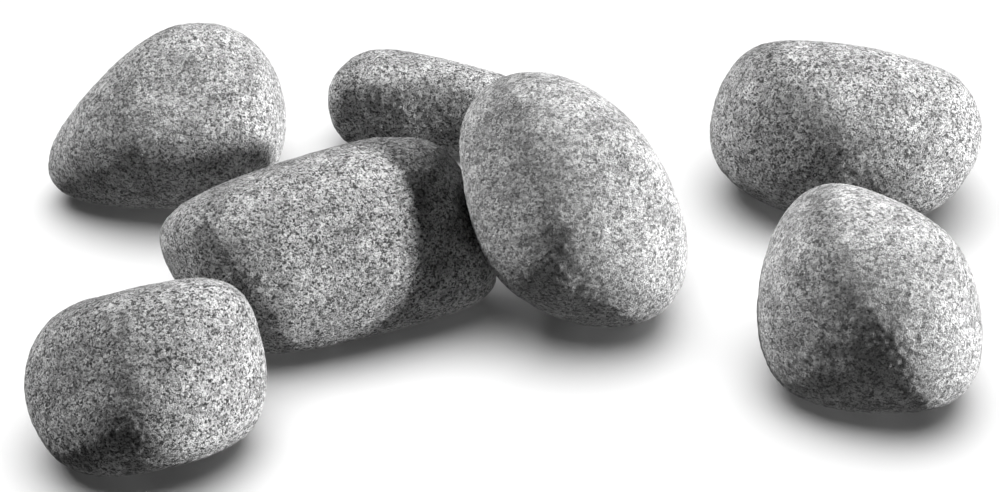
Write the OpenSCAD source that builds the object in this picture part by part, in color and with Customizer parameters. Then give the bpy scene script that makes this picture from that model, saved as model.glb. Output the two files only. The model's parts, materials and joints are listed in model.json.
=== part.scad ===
// A set of seven loose, water-rounded massage stones, laid out as a group on a table.
// Units are millimetres. +X is right, +Y is back, +Z is up, and the table top is z = 0.

/* [Wedge stone, back left] */
// Width of the wedge stone
wedge_width = 90; // [84:1:92]
// Its middle: right of and behind the middle of the set's footprint
wedge_place = [-125, 68.2]; // [-200:0.1:200]
// Turn about the vertical
wedge_turn = -9; // [-20:1:20]

/* [Slim stone, back middle] */
// Width of the slim stone
slim_width = 84; // [76:1:84]
// Its middle
slim_place = [-27.3, 99.4]; // [-200:0.1:200]
// Turn about the vertical
slim_turn = -2; // [-20:1:20]

/* [Long stone, middle] */
// Width of the long stone
long_width = 114; // [104:1:116]
// Its middle
long_place = [-65.8, -14.8]; // [-200:0.1:200]
// Turn about the vertical
long_turn = 20; // [-30:1:30]

/* [Oval stone, leaning on the long stone] */
// Width of the oval stone
oval_width = 80; // [76:1:84]
// Its middle
oval_place = [19.3, 0.5]; // [-200:0.1:200]
// Turn about the vertical
oval_turn = 2; // [-20:1:20]

/* [Blunt stone, front left] */
// Width of the blunt stone
blunt_width = 79; // [74:1:80]
// Its middle
blunt_place = [-119.3, -82]; // [-200:0.1:200]
// Turn about the vertical
blunt_turn = 8; // [-20:1:20]

/* [Pillow stone, back right] */
// Width of the pillow stone
pillow_width = 100; // [92:1:102]
// Its middle
pillow_place = [124.2, 63.7]; // [-200:0.1:200]
// Turn about the vertical
pillow_turn = 9; // [-20:1:20]

/* [Round stone, front right] */
// Width of the round stone
round_width = 75; // [70:1:78]
// Its middle
round_place = [118.4, -48.2]; // [-200:0.1:200]
// Turn about the vertical
round_turn = 10; // [-20:1:20]

/* [Surface] */
// Depth worn off each underside where it rests
wear = 0.6; // [0.2:0.1:1]
// Facets round each stone
sectors = 56; // [24:2:60]
// Facets from its front pole to its back pole
rings = 28; // [12:1:30]

/* [Hidden] */

// Every outline lies in a plane that is tipped back this far from upright.
outline_tip = 35;
// Larger than any stone, for trimming at the table top.
table_half = 200;

// Worn faces: [clock, toward, distance]. Clock runs anticlockwise round the outline from 0 at the right,
// toward is the angle out of the outline's plane to the front, or to the back if negative,
// and distance is from the stone's middle, in halves of its width.
wedge_faces = [
    [0, 0, 1.02], [30, 0, 0.92], [66, 0, 0.96], [104, 0, 0.72], [139, 0, 0.58], [190, 0, 1.18],
    [230, 0, 1.60], [275, 0, 0.78], [320, 0, 0.92],
    [50, 70, 0.78], [160, 50, 0.82], [235, 42, 1.04], [275, 45, 0.86],
    [0, -90, 0.70], [90, -45, 0.78], [0, -45, 0.88], [180, -45, 0.98], [270, -35, 0.70]];
slim_faces = [
    [0, 0, 1.0], [45, 0, 0.72], [76, 0, 0.38], [125, 0, 0.80], [180, 0, 1.02], [235, 0, 0.92],
    [270, 0, 0.54], [305, 0, 0.74],
    [0, 90, 0.56], [90, 45, 0.48], [262, 55, 0.38],
    [0, -90, 0.50], [90, -45, 0.46], [0, -45, 0.80], [180, -45, 0.80], [270, -35, 0.44]];
long_faces = [
    [4, 0, 0.91], [18, 42, 0.71], [42, 0, 0.98], [76, 0, 0.62], [98, 0, 0.45], [131, 0, 0.79],
    [167, 0, 0.98], [210, 0, 0.70], [272, 0, 0.54], [318, 0, 1.10],
    [0, 90, 0.46], [90, 45, 0.50], [200, 42, 0.70], [270, 45, 0.53],
    [0, -90, 0.52], [90, -45, 0.54], [0, -45, 0.84], [180, -45, 0.84], [270, -35, 0.50]];
oval_faces = [
    [0, 0, 0.94], [30, 0, 0.69], [60, 0, 0.78], [95, 0, 1.04], [130, 0, 1.05], [165, 0, 1.01],
    [205, 0, 0.88], [240, 0, 0.84], [272, 0, 1.00], [305, 0, 1.24], [335, 0, 1.12],
    [8, 74, 0.92], [0, 45, 0.96], [180, 55, 0.84], [90, 50, 0.96], [270, 50, 1.00],
    [0, -90, 0.56], [90, -50, 0.84], [0, -50, 0.80], [198, -32, 0.46], [270, -50, 0.84]];
blunt_faces = [
    [350, 0, 1.08], [18, 0, 1.04], [56, 0, 1.08], [97, 0, 0.66], [137, 0, 0.87], [175, 0, 1.11],
    [215, 0, 1.01], [280, 0, 0.79], [315, 0, 1.16],
    [0, 90, 0.88], [345, 45, 0.88], [170, 52, 0.78], [95, 45, 0.88], [245, 45, 0.98],
    [0, -90, 0.76], [60, -42, 0.76], [120, -45, 0.86], [0, -45, 0.88], [180, -45, 0.88], [270, -35, 0.75]];
pillow_faces = [
    [0, 0, 1.00], [34, 0, 0.69], [74, 0, 0.41], [104, 0, 0.73], [145, 0, 0.80], [180, 0, 1.06],
    [228, 0, 0.77], [270, 0, 0.71], [315, 0, 0.80],
    [10, 80, 0.72], [0, 45, 0.88], [190, 54, 0.76], [90, 45, 0.62], [245, 50, 0.76],
    [0, -90, 0.64], [90, -45, 0.60], [0, -45, 0.88], [180, -45, 0.88], [270, -35, 0.60]];
round_faces = [
    [0, 0, 0.98], [22, 0, 0.88], [52, 0, 0.75], [84, 0, 1.05], [145, 0, 0.90], [180, 0, 1.02],
    [222, 0, 1.16], [270, 0, 1.08], [302, 0, 1.24],
    [0, 90, 0.90], [350, 45, 0.94], [190, 45, 0.92], [235, 42, 0.98], [90, 45, 0.90],
    [0, -90, 0.90], [90, -45, 0.90], [0, -45, 0.92], [180, -45, 0.92], [270, -35, 0.90]];

function total(values) = values * [for (v = values) 1];
function outward(clock, toward) = [cos(toward) * cos(clock), -sin(toward), cos(toward) * sin(clock)];

// How far the surface is from the middle, along a direction. Each worn face alone would be flat.
// The power blends them: a higher power leaves tighter ridges between them.
function surface_distance(direction, faces, power) =
    pow(total([for (f = faces) pow(max(0, direction * outward(f[0], f[1]) / f[2]), power)]), -1 / power);

function surface_point(clock, toward, faces, power) =
    let (direction = outward(clock, toward)) direction * surface_distance(direction, faces, power);

// Rings of points from the front of the outline to its back, then the front pole and the back pole.
function surface_points(faces, power) = [
    for (r = [1 : rings - 1], s = [0 : sectors - 1])
        surface_point(360 * s / sectors, 90 - 180 * r / rings, faces, power),
    surface_point(0, 90, faces, power),
    surface_point(0, -90, faces, power)];

function sized(points, width) =
    let (xs = [for (p = points) p[0]]) points * width / (max(xs) - min(xs));

function surface_faces(front = (rings - 1) * sectors, back_ring = (rings - 2) * sectors) = [
    for (r = [0 : rings - 3], s = [0 : sectors - 1])
        let (a = r * sectors + s, b = r * sectors + (s + 1) % sectors)
            each [[a, b, b + sectors], [a, b + sectors, a + sectors]],
    for (s = [0 : sectors - 1])
        let (t = (s + 1) % sectors) each [[front, t, s], [front + 1, back_ring + s, back_ring + t]]];

// A cobble set down on the table, its outline tipped back and its underside worn flat where it rests.
module cobble(width, place, turn, faces, power) {
    points = sized(surface_points(faces, power), width);
    lowest = min([for (p = points) p[2] * cos(outline_tip) - p[1] * sin(outline_tip)]);
    translate([place[0], place[1], 0])
        intersection() {
            translate([0, 0, -lowest - wear]) rotate([0, 0, turn]) rotate([-outline_tip, 0, 0])
                polyhedron(points = points, faces = surface_faces(), convexity = 2);
            translate([-table_half, -table_half, 0]) cube([2 * table_half, 2 * table_half, table_half]);
        }
}

module wedge_stone() { color("darkgray") cobble(wedge_width, wedge_place, wedge_turn, wedge_faces, 6); }
module slim_stone() { color("dimgray") cobble(slim_width, slim_place, slim_turn, slim_faces, 6); }
module long_stone() { color("darkgray") cobble(long_width, long_place, long_turn, long_faces, 7); }
module oval_stone() { color("gray") cobble(oval_width, oval_place, oval_turn, oval_faces, 7); }
module blunt_stone() { color("darkgray") cobble(blunt_width, blunt_place, blunt_turn, blunt_faces, 7); }
module pillow_stone() { color("gray") cobble(pillow_width, pillow_place, pillow_turn, pillow_faces, 6); }
module round_stone() { color("darkgray") cobble(round_width, round_place, round_turn, round_faces, 6); }

wedge_stone();
slim_stone();
long_stone();
oval_stone();
blunt_stone();
pillow_stone();
round_stone();
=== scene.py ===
import json
import math

import bpy
import bmesh
import numpy as np
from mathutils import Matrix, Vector


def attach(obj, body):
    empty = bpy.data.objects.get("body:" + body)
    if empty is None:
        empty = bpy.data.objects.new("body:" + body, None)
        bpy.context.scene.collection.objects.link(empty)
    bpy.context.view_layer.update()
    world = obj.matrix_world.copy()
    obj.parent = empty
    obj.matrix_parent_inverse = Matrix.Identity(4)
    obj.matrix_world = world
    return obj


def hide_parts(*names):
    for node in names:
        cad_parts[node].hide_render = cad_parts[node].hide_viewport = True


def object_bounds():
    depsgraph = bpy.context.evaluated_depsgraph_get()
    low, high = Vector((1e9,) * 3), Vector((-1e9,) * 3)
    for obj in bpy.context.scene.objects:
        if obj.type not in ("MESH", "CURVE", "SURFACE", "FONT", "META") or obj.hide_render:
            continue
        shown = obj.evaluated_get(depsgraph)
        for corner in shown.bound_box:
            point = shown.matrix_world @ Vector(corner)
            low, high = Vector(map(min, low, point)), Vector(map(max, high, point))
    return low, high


# The look of a set of loose, speckled grey massage stones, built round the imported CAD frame.
# Lengths are in metres and angles are in degrees.

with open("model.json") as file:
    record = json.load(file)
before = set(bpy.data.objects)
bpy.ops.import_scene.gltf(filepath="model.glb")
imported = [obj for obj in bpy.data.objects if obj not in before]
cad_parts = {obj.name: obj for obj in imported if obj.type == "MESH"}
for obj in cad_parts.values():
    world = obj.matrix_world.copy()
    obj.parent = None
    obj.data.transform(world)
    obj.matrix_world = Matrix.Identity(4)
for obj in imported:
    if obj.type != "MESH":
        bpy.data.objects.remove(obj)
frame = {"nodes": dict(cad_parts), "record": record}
cad_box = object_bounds()

MM = 0.001

# ---------------------------------------------------------------- what the stones look like
# For each stone: its random seed, its broad unevenness, how light its rock is, how strong its speckle is,
# and its marks, which are dents given as (clock, toward, radius, depth).
STONES = {
    "wedge_stone": dict(
        seed=11, uneven=0.9 * MM, tone=1.00, speckle=0.90,
        marks=[(60, 50, 3.0 * MM, 0.5 * MM)]),
    "slim_stone": dict(seed=23, uneven=0.6 * MM, tone=0.94, speckle=1.00),
    "long_stone": dict(seed=37, uneven=0.8 * MM, tone=0.97, speckle=1.00),
    "oval_stone": dict(
        seed=41, uneven=0.8 * MM, tone=0.96, speckle=0.72,
        marks=[
            (153, 24, 1.5 * MM, 0.8 * MM),
            (150, 30, 4.5 * MM, 0.3 * MM),
            (40, 45, 2.2 * MM, 0.4 * MM)]),
    "blunt_stone": dict(seed=59, uneven=0.9 * MM, tone=0.96, speckle=1.00),
    "pillow_stone": dict(
        seed=67, uneven=0.9 * MM, tone=0.97, speckle=0.95,
        marks=[(150, 8, 2.6 * MM, 0.9 * MM)]),
    "round_stone": dict(
        seed=83, uneven=0.8 * MM, tone=0.95, speckle=0.72,
        marks=[
            (52, 30, 2.2 * MM, 0.7 * MM),
            (34, 25, 1.8 * MM, 0.6 * MM),
            (88, 25, 1.8 * MM, 0.5 * MM)]),
}

OUTLINE_TIP = 35.0          # how far every outline is tipped back from upright

# Remeshing
WELD = 0.01 * MM            # corners closer than this become one
VOXEL = 1.3 * MM            # remesh size; one subdivision then halves it
SMOOTHING = 24              # passes that melt the CAD facets into a smooth surface
SMOOTH_FACTOR = 0.5

# Noise lattice
LATTICE_VALUES = 4096
LATTICE_HASH = (73856093, 19349663, 83492791)

# Relief. The two broad waves are shares of a stone's unevenness.
BROAD_CELL = 26 * MM
BROAD_SHARE = 0.6
BROAD_SINK = 0.6            # lowers the broad wave, so that most of a stone stays inside its CAD solid
MIDDLE_CELL = 11 * MM
MIDDLE_SHARE = 0.25
FINE_RELIEF = [             # (cell, height)
    (5 * MM, 0.12 * MM),
    (2.2 * MM, 0.07 * MM),
    (1.4 * MM, 0.11 * MM)]
PROUD = 0.25 * MM           # the most that a surface stands out, so that leaning stones keep apart
TABLE_FADE = 2.0 * MM       # relief fades out over this height above the table

# Pits
PITS = 60                   # on each stone
PIT_RADIUS = (0.9, 1.8)     # smallest and largest, in millimetres
PIT_DEPTH = (0.08, 0.22)    # smallest and largest, in radii
LIP_HEIGHT = 0.05           # the raised rim: its height in depths, then its place and width in radii
LIP_PLACE = 1.1
LIP_WIDTH = 0.22

# Rock grain
LARGE_CRYSTAL = 1.15 * MM
SMALL_CRYSTAL = 0.6 * MM
CLOUD_GRAIN = 9.0 * MM
GRIT_GRAIN = 0.55 * MM
RAGGED_GRAIN = 0.8 * MM     # the noise that makes crystal edges ragged
RAGGED_NUDGE = 1.2 * MM     # and how far it can move them
CLOUD_STRENGTH = 0.8
SMALL_HEIGHT = 0.3          # how much the small crystals raise the bump, and how much their edges lower it
EDGE_HEIGHT = 0.25
BUMP_DISTANCE = 0.9 * MM
PATTERN_SHIFT = (0.137, 0.071, 0.053)    # moves the pattern for each seed, so no two stones match


def lattice_noise(points, cell, seed):
    """Smooth value noise from -1 to 1 at each point, with features about one cell across."""
    rng = np.random.default_rng(seed)
    table = rng.uniform(-1.0, 1.0, LATTICE_VALUES)
    offset = rng.uniform(0.0, 100.0, 3)
    p = points / cell + offset
    base = np.floor(p).astype(np.int64)
    t = p - base
    t = t * t * t * (t * (t * 6.0 - 15.0) + 10.0)
    value = np.zeros(len(points))
    hx, hy, hz = LATTICE_HASH
    for corner in range(8):
        step = np.array([corner & 1, (corner >> 1) & 1, (corner >> 2) & 1])
        key = base + step
        index = (key[:, 0] * hx ^ key[:, 1] * hy ^ key[:, 2] * hz) % LATTICE_VALUES
        weight = np.where(step, t, 1.0 - t).prod(axis=1)
        value += weight * table[index]
    return value


def evaluated_copy(source, name):
    """A new object that holds source's mesh with its modifiers applied."""
    graph = bpy.context.evaluated_depsgraph_get()
    mesh = bpy.data.meshes.new_from_object(source.evaluated_get(graph))
    mesh.name = name
    copy = bpy.data.objects.new(name, mesh)
    bpy.context.scene.collection.objects.link(copy)
    return copy


def smooth_stone(node):
    """The CAD stone as an even, fine mesh with its facets melted away."""
    cad = frame["nodes"][node]
    work = bpy.data.objects.new(node + "_work", cad.data.copy())
    bpy.context.scene.collection.objects.link(work)
    mesh = bmesh.new()
    mesh.from_mesh(work.data)
    bmesh.ops.remove_doubles(mesh, verts=mesh.verts, dist=WELD)
    mesh.to_mesh(work.data)
    mesh.free()
    remesh = work.modifiers.new("even", "REMESH")
    remesh.mode = "VOXEL"
    remesh.voxel_size = VOXEL
    smooth = work.modifiers.new("melt", "SMOOTH")
    smooth.factor = SMOOTH_FACTOR
    smooth.iterations = SMOOTHING
    finer = work.modifiers.new("finer", "SUBSURF")
    finer.levels = 1
    finer.render_levels = 1
    stone = evaluated_copy(work, node.replace("_stone", "_massage_stone"))
    bpy.data.objects.remove(work)
    return stone


def pit_depth(distance, radius):
    """The profile of a pit, from 1 at its middle to 0 at its rim, with a slight raised lip."""
    r = distance / radius
    bowl = np.where(r < 1.0, (1.0 - r * r) ** 2, 0.0)
    lip = LIP_HEIGHT * np.exp(-((r - LIP_PLACE) / LIP_WIDTH) ** 2)
    return bowl - lip


def facing(clock, toward):
    """A direction out of a stone.

    Clock runs anticlockwise round the outline from 0 at the right, and toward is the angle to the front.
    """
    c = math.radians(clock)
    f = math.radians(toward)
    tip = math.radians(OUTLINE_TIP)
    right = math.cos(f) * math.cos(c)
    front = math.sin(f)
    up = math.cos(f) * math.sin(c)
    y = up * math.sin(tip) - front * math.cos(tip)
    z = up * math.cos(tip) + front * math.sin(tip)
    return np.array([right, y, z])


def weather(stone, look):
    """Adds broad unevenness, fine relief, pits and marks to a smooth stone."""
    mesh = stone.data
    count = len(mesh.vertices)
    co = np.empty(count * 3)
    normal = np.empty(count * 3)
    mesh.vertices.foreach_get("co", co)
    mesh.vertex_normals.foreach_get("vector", normal)
    co = co.reshape(-1, 3)
    normal = normal.reshape(-1, 3)
    seed = look["seed"]
    rng = np.random.default_rng(seed)

    height = look["uneven"] * BROAD_SHARE * (lattice_noise(co, BROAD_CELL, seed) - BROAD_SINK)
    height += look["uneven"] * MIDDLE_SHARE * lattice_noise(co, MIDDLE_CELL, seed + 1)
    for step, (cell, size) in enumerate(FINE_RELIEF, start=2):
        height += size * lattice_noise(co, cell, seed + step)

    for _ in range(PITS):
        spot = co[rng.integers(count)]
        radius = rng.uniform(*PIT_RADIUS) * MM
        near = np.abs(co - spot).max(axis=1) < 2 * radius
        distance = np.linalg.norm(co[near] - spot, axis=1)
        height[near] -= rng.uniform(*PIT_DEPTH) * radius * pit_depth(distance, radius)

    middle = (co.min(axis=0) + co.max(axis=0)) / 2
    for clock, toward, radius, depth in look.get("marks", ()):
        away = (co - middle) / np.linalg.norm(co - middle, axis=1)[:, None]
        spot = co[np.argmax(away @ facing(clock, toward))]
        distance = np.linalg.norm(co - spot, axis=1)
        height -= depth * pit_depth(distance, radius)

    off_table = np.clip(co[:, 2] / TABLE_FADE, 0.0, 1.0)
    co += normal * (np.minimum(height, PROUD) * off_table)[:, None]
    co[:, 2] = np.maximum(co[:, 2], 0.0)
    mesh.vertices.foreach_set("co", co.ravel())
    mesh.polygons.foreach_set("use_smooth", np.ones(len(mesh.polygons), bool))
    mesh.update()


# ---------------------------------------------------------------- stone material
def stone_material(name, tone, speckle, seed):
    """Salt-and-pepper rock: dark, mid-grey and pale crystals with a rough, dry, gritty surface."""
    material = bpy.data.materials.new(name)
    material.use_nodes = True
    tree = material.node_tree
    nodes, links = tree.nodes, tree.links
    nodes.clear()

    def add(kind, **settings):
        node = nodes.new(kind)
        for key, value in settings.items():
            setattr(node, key, value)
        return node

    def feed(socket, value):
        if isinstance(value, bpy.types.NodeSocket):
            links.new(value, socket)
        else:
            socket.default_value = value

    def math_node(operation, a, b):
        node = add("ShaderNodeMath", operation=operation)
        feed(node.inputs[0], a)
        feed(node.inputs[1], b)
        return node.outputs[0]

    def multiply(factor, a, b):
        node = add("ShaderNodeMix", data_type="RGBA", blend_type="MULTIPLY")
        feed(node.inputs["Factor"], factor)
        feed(node.inputs[6], a)
        feed(node.inputs[7], b)
        return node.outputs[2]

    def ramp(value, stops):
        node = add("ShaderNodeValToRGB")
        while len(node.color_ramp.elements) < len(stops):
            node.color_ramp.elements.new(0.5)
        for element, (position, grey) in zip(node.color_ramp.elements, stops):
            element.position = position
            element.color = (grey, grey, grey, 1.0)
        links.new(value, node.inputs["Fac"])
        return node.outputs["Color"]

    def noise(vector, grain, detail, roughness=0.5):
        node = add("ShaderNodeTexNoise")
        node.inputs["Scale"].default_value = 1.0 / grain
        node.inputs["Detail"].default_value = detail
        node.inputs["Roughness"].default_value = roughness
        links.new(vector, node.inputs["Vector"])
        return node.outputs["Fac"]

    def crystals(vector, grain):
        """A random grey for each crystal, and how far each point is from its crystal's middle."""
        node = add("ShaderNodeTexVoronoi", feature="F1")
        node.inputs["Scale"].default_value = 1.0 / grain
        links.new(vector, node.inputs["Vector"])
        split = add("ShaderNodeSeparateColor")
        links.new(node.outputs["Color"], split.inputs["Color"])
        return split.outputs["Red"], node.outputs["Distance"]

    # Ragged crystal edges: the lookup point is nudged by a fine noise.
    place = add("ShaderNodeMapping")
    place.inputs["Location"].default_value = tuple(seed * shift for shift in PATTERN_SHIFT)
    links.new(add("ShaderNodeTexCoord").outputs["Object"], place.inputs["Vector"])
    ragged = add("ShaderNodeTexNoise")
    ragged.inputs["Scale"].default_value = 1.0 / RAGGED_GRAIN
    ragged.inputs["Detail"].default_value = 1.0
    links.new(place.outputs["Vector"], ragged.inputs["Vector"])
    nudge = add("ShaderNodeVectorMath", operation="SCALE")
    nudge.inputs["Scale"].default_value = RAGGED_NUDGE
    links.new(ragged.outputs["Color"], nudge.inputs[0])
    moved = add("ShaderNodeVectorMath", operation="ADD")
    links.new(place.outputs["Vector"], moved.inputs[0])
    links.new(nudge.outputs["Vector"], moved.inputs[1])
    vector = moved.outputs["Vector"]

    large, _ = crystals(vector, LARGE_CRYSTAL)
    small, small_distance = crystals(vector, SMALL_CRYSTAL)
    cloud = noise(vector, CLOUD_GRAIN, 3.0)
    grit = noise(vector, GRIT_GRAIN, 3.0, 0.75)

    # Each stop is a place on the ramp and a grey.
    matrix = ramp(large, [(0.00, 0.26 * tone), (0.25, 0.47 * tone), (0.60, 0.63 * tone), (1.00, 0.76 * tone)])
    flecks = ramp(small, [(0.00, 0.05), (0.16, 0.12), (0.32, 0.84), (1.00, 1.00)])
    colour = multiply(speckle, matrix, flecks)
    colour = multiply(speckle, colour, ramp(grit, [(0.38, 0.15), (0.53, 1.0)]))
    colour = multiply(CLOUD_STRENGTH, colour, ramp(cloud, [(0.35, 0.62), (0.62, 1.0)]))

    shader = add("ShaderNodeBsdfPrincipled")
    shader.inputs["Diffuse Roughness"].default_value = 1.0
    shader.inputs["Specular IOR Level"].default_value = 0.25
    links.new(colour, shader.inputs["Base Color"])
    links.new(ramp(small, [(0.0, 0.55), (1.0, 0.85)]), shader.inputs["Roughness"])

    height = math_node("ADD", grit, math_node("MULTIPLY", small, SMALL_HEIGHT))
    height = math_node("SUBTRACT", height, math_node("MULTIPLY", small_distance, EDGE_HEIGHT))
    bump = add("ShaderNodeBump")
    bump.inputs["Strength"].default_value = 1.0
    bump.inputs["Distance"].default_value = BUMP_DISTANCE
    links.new(height, bump.inputs["Height"])
    links.new(bump.outputs["Normal"], shader.inputs["Normal"])
    output = add("ShaderNodeOutputMaterial")
    links.new(shader.outputs["BSDF"], output.inputs["Surface"])
    return material


# ---------------------------------------------------------------- stones
bodies = frame["record"]["behaviour"]["bodies"]
node_body = {node: body for body, nodes in bodies.items() for node in nodes}
stones = []
for node, look in STONES.items():
    stone = smooth_stone(node)
    weather(stone, look)
    rock = stone_material(node + "_rock", look["tone"], look["speckle"], look["seed"])
    stone.data.materials.clear()
    stone.data.materials.append(rock)
    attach(stone, node_body[node])
    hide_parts(node)
    stones.append(stone)

# ---------------------------------------------------------------- floor
FLOOR_REACH = 6.0
FLOOR_GREY = (0.85, 0.85, 0.85, 1.0)

low, high = Vector(cad_box[0]), Vector(cad_box[1])
middle = (low + high) / 2

floor_corners = [
    (-FLOOR_REACH, -FLOOR_REACH, 0),
    (FLOOR_REACH, -FLOOR_REACH, 0),
    (FLOOR_REACH, FLOOR_REACH, 0),
    (-FLOOR_REACH, FLOOR_REACH, 0)]
floor_mesh = bpy.data.meshes.new("floor")
floor_mesh.from_pydata(floor_corners, [], [(0, 1, 2, 3)])
floor = bpy.data.objects.new("floor", floor_mesh)
bpy.context.scene.collection.objects.link(floor)
floor_material = bpy.data.materials.new("pale_floor")
floor_material.use_nodes = True
floor_shader = floor_material.node_tree.nodes["Principled BSDF"]
floor_shader.inputs["Base Color"].default_value = FLOOR_GREY
floor_shader.inputs["Roughness"].default_value = 0.9
floor_shader.inputs["Specular IOR Level"].default_value = 0.0
floor_mesh.materials.append(floor_material)
floor.visible_diffuse = False
floor.visible_glossy = False

# ---------------------------------------------------------------- lights
WORLD_STRENGTH = 0.05


def light_group(name, members):
    """A collection for light linking, of the objects that a light reaches or is blocked by."""
    group = bpy.data.collections.new(name)
    for member in members:
        group.objects.link(member)
    return group


def area_light(name, azimuth, elevation, distance, size, power, receivers):
    """A disc lamp that faces the set's middle. Azimuth 0 is behind the camera and 90 is the right."""
    data = bpy.data.lights.new(name, "AREA")
    data.shape = "DISK"
    data.size = size
    data.energy = power
    lamp = bpy.data.objects.new(name, data)
    bpy.context.scene.collection.objects.link(lamp)
    a, e = math.radians(azimuth), math.radians(elevation)
    direction = Vector((math.sin(a) * math.cos(e), -math.cos(a) * math.cos(e), math.sin(e)))
    lamp.location = middle + direction * distance
    lamp.rotation_euler = (-direction).to_track_quat("-Z", "Y").to_euler()
    lamp.light_linking.receiver_collection = receivers
    return lamp


all_stones = light_group("all_stones", stones)
floor_only = light_group("floor_only", [floor])

key = area_light(
    "key", azimuth=86, elevation=20, distance=1.3, size=0.12, power=74.0, receivers=all_stones)
area_light(
    "fill", azimuth=-113, elevation=34, distance=2.5, size=0.4, power=190.0, receivers=all_stones)
bounce = area_light(
    "bounce", azimuth=40, elevation=-42, distance=1.5, size=0.8, power=9.5, receivers=all_stones)
area_light(
    "floor_light", azimuth=0, elevation=88, distance=2.0, size=2.6, power=75.0, receivers=floor_only)

# The round stone would throw a long shadow over the oval one, so it doesn't block the key light.
key_blockers = light_group("key_blockers", [s for s in stones if s.name != "round_massage_stone"])
key.light_linking.blocker_collection = key_blockers
# The bounce stands in for light off the pale table, so the table itself doesn't block it.
bounce.light_linking.blocker_collection = all_stones

world = bpy.data.worlds.new("studio")
world.use_nodes = True
background = world.node_tree.nodes["Background"]
background.inputs["Color"].default_value = (1.0, 1.0, 1.0, 1.0)
background.inputs["Strength"].default_value = WORLD_STRENGTH
bpy.context.scene.world = world
bpy.context.scene.view_settings.view_transform = "Standard"

# ---------------------------------------------------------------- camera
CAMERA_ELEVATION = 35.0
CAMERA_DISTANCE = 0.875
CAMERA_AIM = Vector((-4.3 * MM, -5.3 * MM, 25.0 * MM))    # from the middle of the set's footprint

camera_data = bpy.data.cameras.new("camera")
camera_data.lens = 90.0
camera_data.sensor_width = 36.0
camera = bpy.data.objects.new("camera", camera_data)
bpy.context.scene.collection.objects.link(camera)
aim = Vector((middle.x, middle.y, 0.0)) + CAMERA_AIM
tilt = math.radians(CAMERA_ELEVATION)
toward_camera = Vector((0.0, -math.cos(tilt), math.sin(tilt)))
camera.location = aim + toward_camera * CAMERA_DISTANCE
camera.rotation_euler = (-toward_camera).to_track_quat("-Z", "Y").to_euler()
bpy.context.scene.camera = camera
